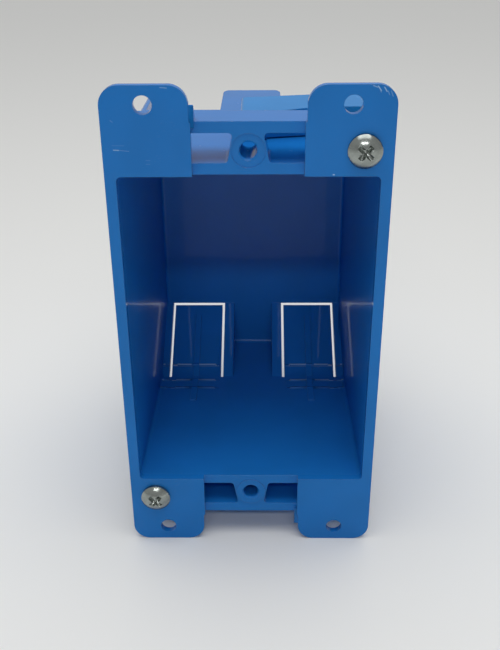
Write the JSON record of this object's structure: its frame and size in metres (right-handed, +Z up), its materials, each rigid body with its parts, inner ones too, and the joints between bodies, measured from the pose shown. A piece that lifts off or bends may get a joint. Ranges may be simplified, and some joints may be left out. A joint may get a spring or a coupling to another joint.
{
  "type": "old-work electrical box",
  "caption": "Moulded single-gang back box for a finished wall, with swing-out clamps on screws, plaster ears and pry-in cable entries.",
  "frame": {"origin": "midway between the four ear holes and between the two device screw holes, in the plane of the ears' back faces, which is the wall's surface", "axes": "+X to the right seen from the front, +Y into the wall, +Z up"},
  "size_m": [0.057, 0.0728, 0.1094],
  "materials": {
    "blue_plastic": "moulded blue PVC, semi-gloss, with flow and ejector marks",
    "clamp_plastic": "moulded blue plastic, satin",
    "zinc_steel": "zinc-plated steel"
  },
  "bodies": {
    "box": {"box_body": "blue_plastic"},
    "screw_upper": {"clamp_screw_upper": "zinc_steel"},
    "screw_lower": {"clamp_screw_lower": "zinc_steel"},
    "clamp_upper": {"swing_clamp_upper": "clamp_plastic"},
    "clamp_lower": {"swing_clamp_lower": "clamp_plastic"}
  },
  "joints": [
    {"name": "upper_swing", "type": "hinge", "parent": "box", "child": "screw_upper", "pos_m": [0.0227, 0, 0.04208], "axis": [0, 1, 0], "range_deg": [0, 90]},
    {"name": "lower_swing", "type": "hinge", "parent": "box", "child": "screw_lower", "pos_m": [-0.0227, 0, -0.04208], "axis": [0, 1, 0], "range_deg": [0, 90]},
    {"name": "upper_clamp_travel", "type": "slide", "parent": "screw_upper", "child": "clamp_upper", "axis": [0, -1, 0], "range_m": [0, 0.0076]},
    {"name": "lower_clamp_travel", "type": "slide", "parent": "screw_lower", "child": "clamp_lower", "axis": [0, -1, 0], "range_m": [0, 0.0076]}
  ]
}
